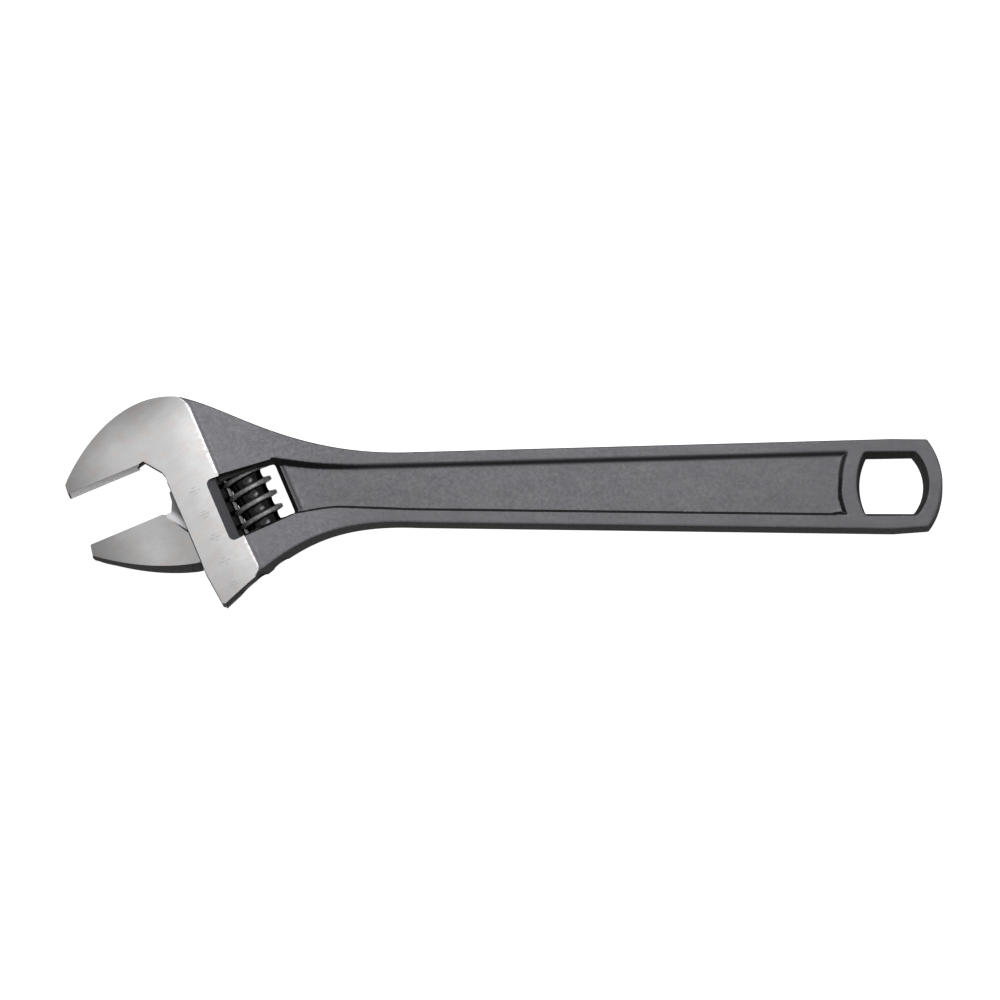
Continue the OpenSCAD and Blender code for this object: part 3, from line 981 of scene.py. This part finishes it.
def make_camera():
    """A long lens 2 m above the wrench, as in the photo."""
    seen = Vector((-4.0, -0.84, 21)) * MM
    offset = Vector((-119, -215, 2000)) * MM
    roll = math.radians(0.77)
    forward = (-offset).normalized()
    right = forward.cross(Vector((0, 1, 0))).normalized()
    up = right.cross(forward)
    across, along = math.cos(roll), math.sin(roll)
    right, up = right * across - up * along, right * along + up * across
    camera = bpy.data.objects.new("camera", bpy.data.cameras.new("camera"))
    bpy.context.scene.collection.objects.link(camera)
    pose = Matrix((right, up, -forward)).transposed().to_4x4()
    pose.translation = seen + offset
    camera.matrix_world = pose
    camera.data.sensor_width = 36
    camera.data.lens = 139.3
    camera.data.dof.use_dof = False
    bpy.context.scene.camera = camera


def area(name, location, size, watts, target=(0, 0, 0)):
    data = bpy.data.lights.new(name, "AREA")
    data.shape = "RECTANGLE"
    data.size, data.size_y = size
    data.energy = watts
    obj = bpy.data.objects.new(name, data)
    bpy.context.scene.collection.objects.link(obj)
    obj.location = location
    obj.rotation_mode = "QUATERNION"
    obj.rotation_quaternion = (Vector(target) - Vector(location)).to_track_quat("-Z", "Y")


def make_stage():
    corners = 4 * np.array([(-1, -1, 0), (1, -1, 0), (1, 1, 0), (-1, 1, 0)])
    floor = make("floor", corners, [(0, 1, 2, 3)], placed=True)
    white = Shader("floor_white", (0.85, 0.85, 0.85), 0.7, 0.0)
    white.surface.inputs["Emission Color"].default_value = (1, 1, 1, 1)
    white.surface.inputs["Emission Strength"].default_value = 0.92
    floor.data.materials.append(white.material)
    world = bpy.data.worlds.new("studio")
    world.use_nodes = True
    world.node_tree.nodes["Background"].inputs["Color"].default_value = (1, 1, 1, 1)
    # the room lights the matt walls with one strength and shows in the steel with another
    lit, reflected = 0.1, 0.3
    tree = world.node_tree
    strength = tree.nodes.new("ShaderNodeMapRange")
    strength.inputs["To Min"].default_value, strength.inputs["To Max"].default_value = lit, reflected
    tree.links.new(tree.nodes.new("ShaderNodeLightPath").outputs["Is Glossy Ray"], strength.inputs["Value"])
    tree.links.new(strength.outputs[0], tree.nodes["Background"].inputs["Strength"])
    bpy.context.scene.world = world
    bpy.context.scene.view_settings.view_transform = "Standard"
    area("key", (0.055, 0.25, 0.6), (0.37, 0.31), 1.0, target=(0.055, 0.25, 0))
    # a small bright lamp within the key, for the glints on the worm
    area("glint", (0.055, 0.25, 0.59), (0.03, 0.03), 0.2, target=(0.055, 0.25, 0))
    area("overhead", (0.1, 0.3, 1.9), (2.4, 2.0), 9.5, target=(0.1, 0.3, 0))


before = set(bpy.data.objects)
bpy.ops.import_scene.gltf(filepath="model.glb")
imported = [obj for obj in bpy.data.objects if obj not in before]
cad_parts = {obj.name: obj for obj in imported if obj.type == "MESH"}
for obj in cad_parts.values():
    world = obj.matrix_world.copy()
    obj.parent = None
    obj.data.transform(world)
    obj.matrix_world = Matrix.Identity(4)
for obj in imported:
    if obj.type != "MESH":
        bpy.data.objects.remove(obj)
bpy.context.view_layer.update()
make_camera()

body = make_body()
jaw = make_jaw()
worm = make_worm()
pin = make_pin()
spring = make_spring()
forged, sides, milled, oxide = forged_black(), forged_sides(), milled_face(), black_oxide()
paint(body, [forged, ground_head(), sides, milled], body_slot)
paint(jaw, [forged, ground_jaw(), sides, milled, oxide, neck_steel()], jaw_slot)
paint(worm, [oxide, rubbed_black()], worm_slot)
paint(pin, [bare_steel("turned_steel", (0.4, 0.4, 0.4), (2, 0.3, 2))])
paint(spring, [bare_steel("spring_wire", (0.45, 0.45, 0.46), (0.4, 0.4, 0.4))])

for piece, node, owner, slot in (
    (body, "body", "frame", "black_forging"),
    (jaw, "movable_jaw", "jaw", "ground_jaw"),
    (worm, "adjusting_worm", "worm", "black_knurl"),
    (pin, "worm_pin", "frame", "pin_steel"),
    (spring, "worm_spring", "frame", "spring_steel"),
):
    finish_surface(piece)
    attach(piece, owner)
    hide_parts(node)

make_stage()
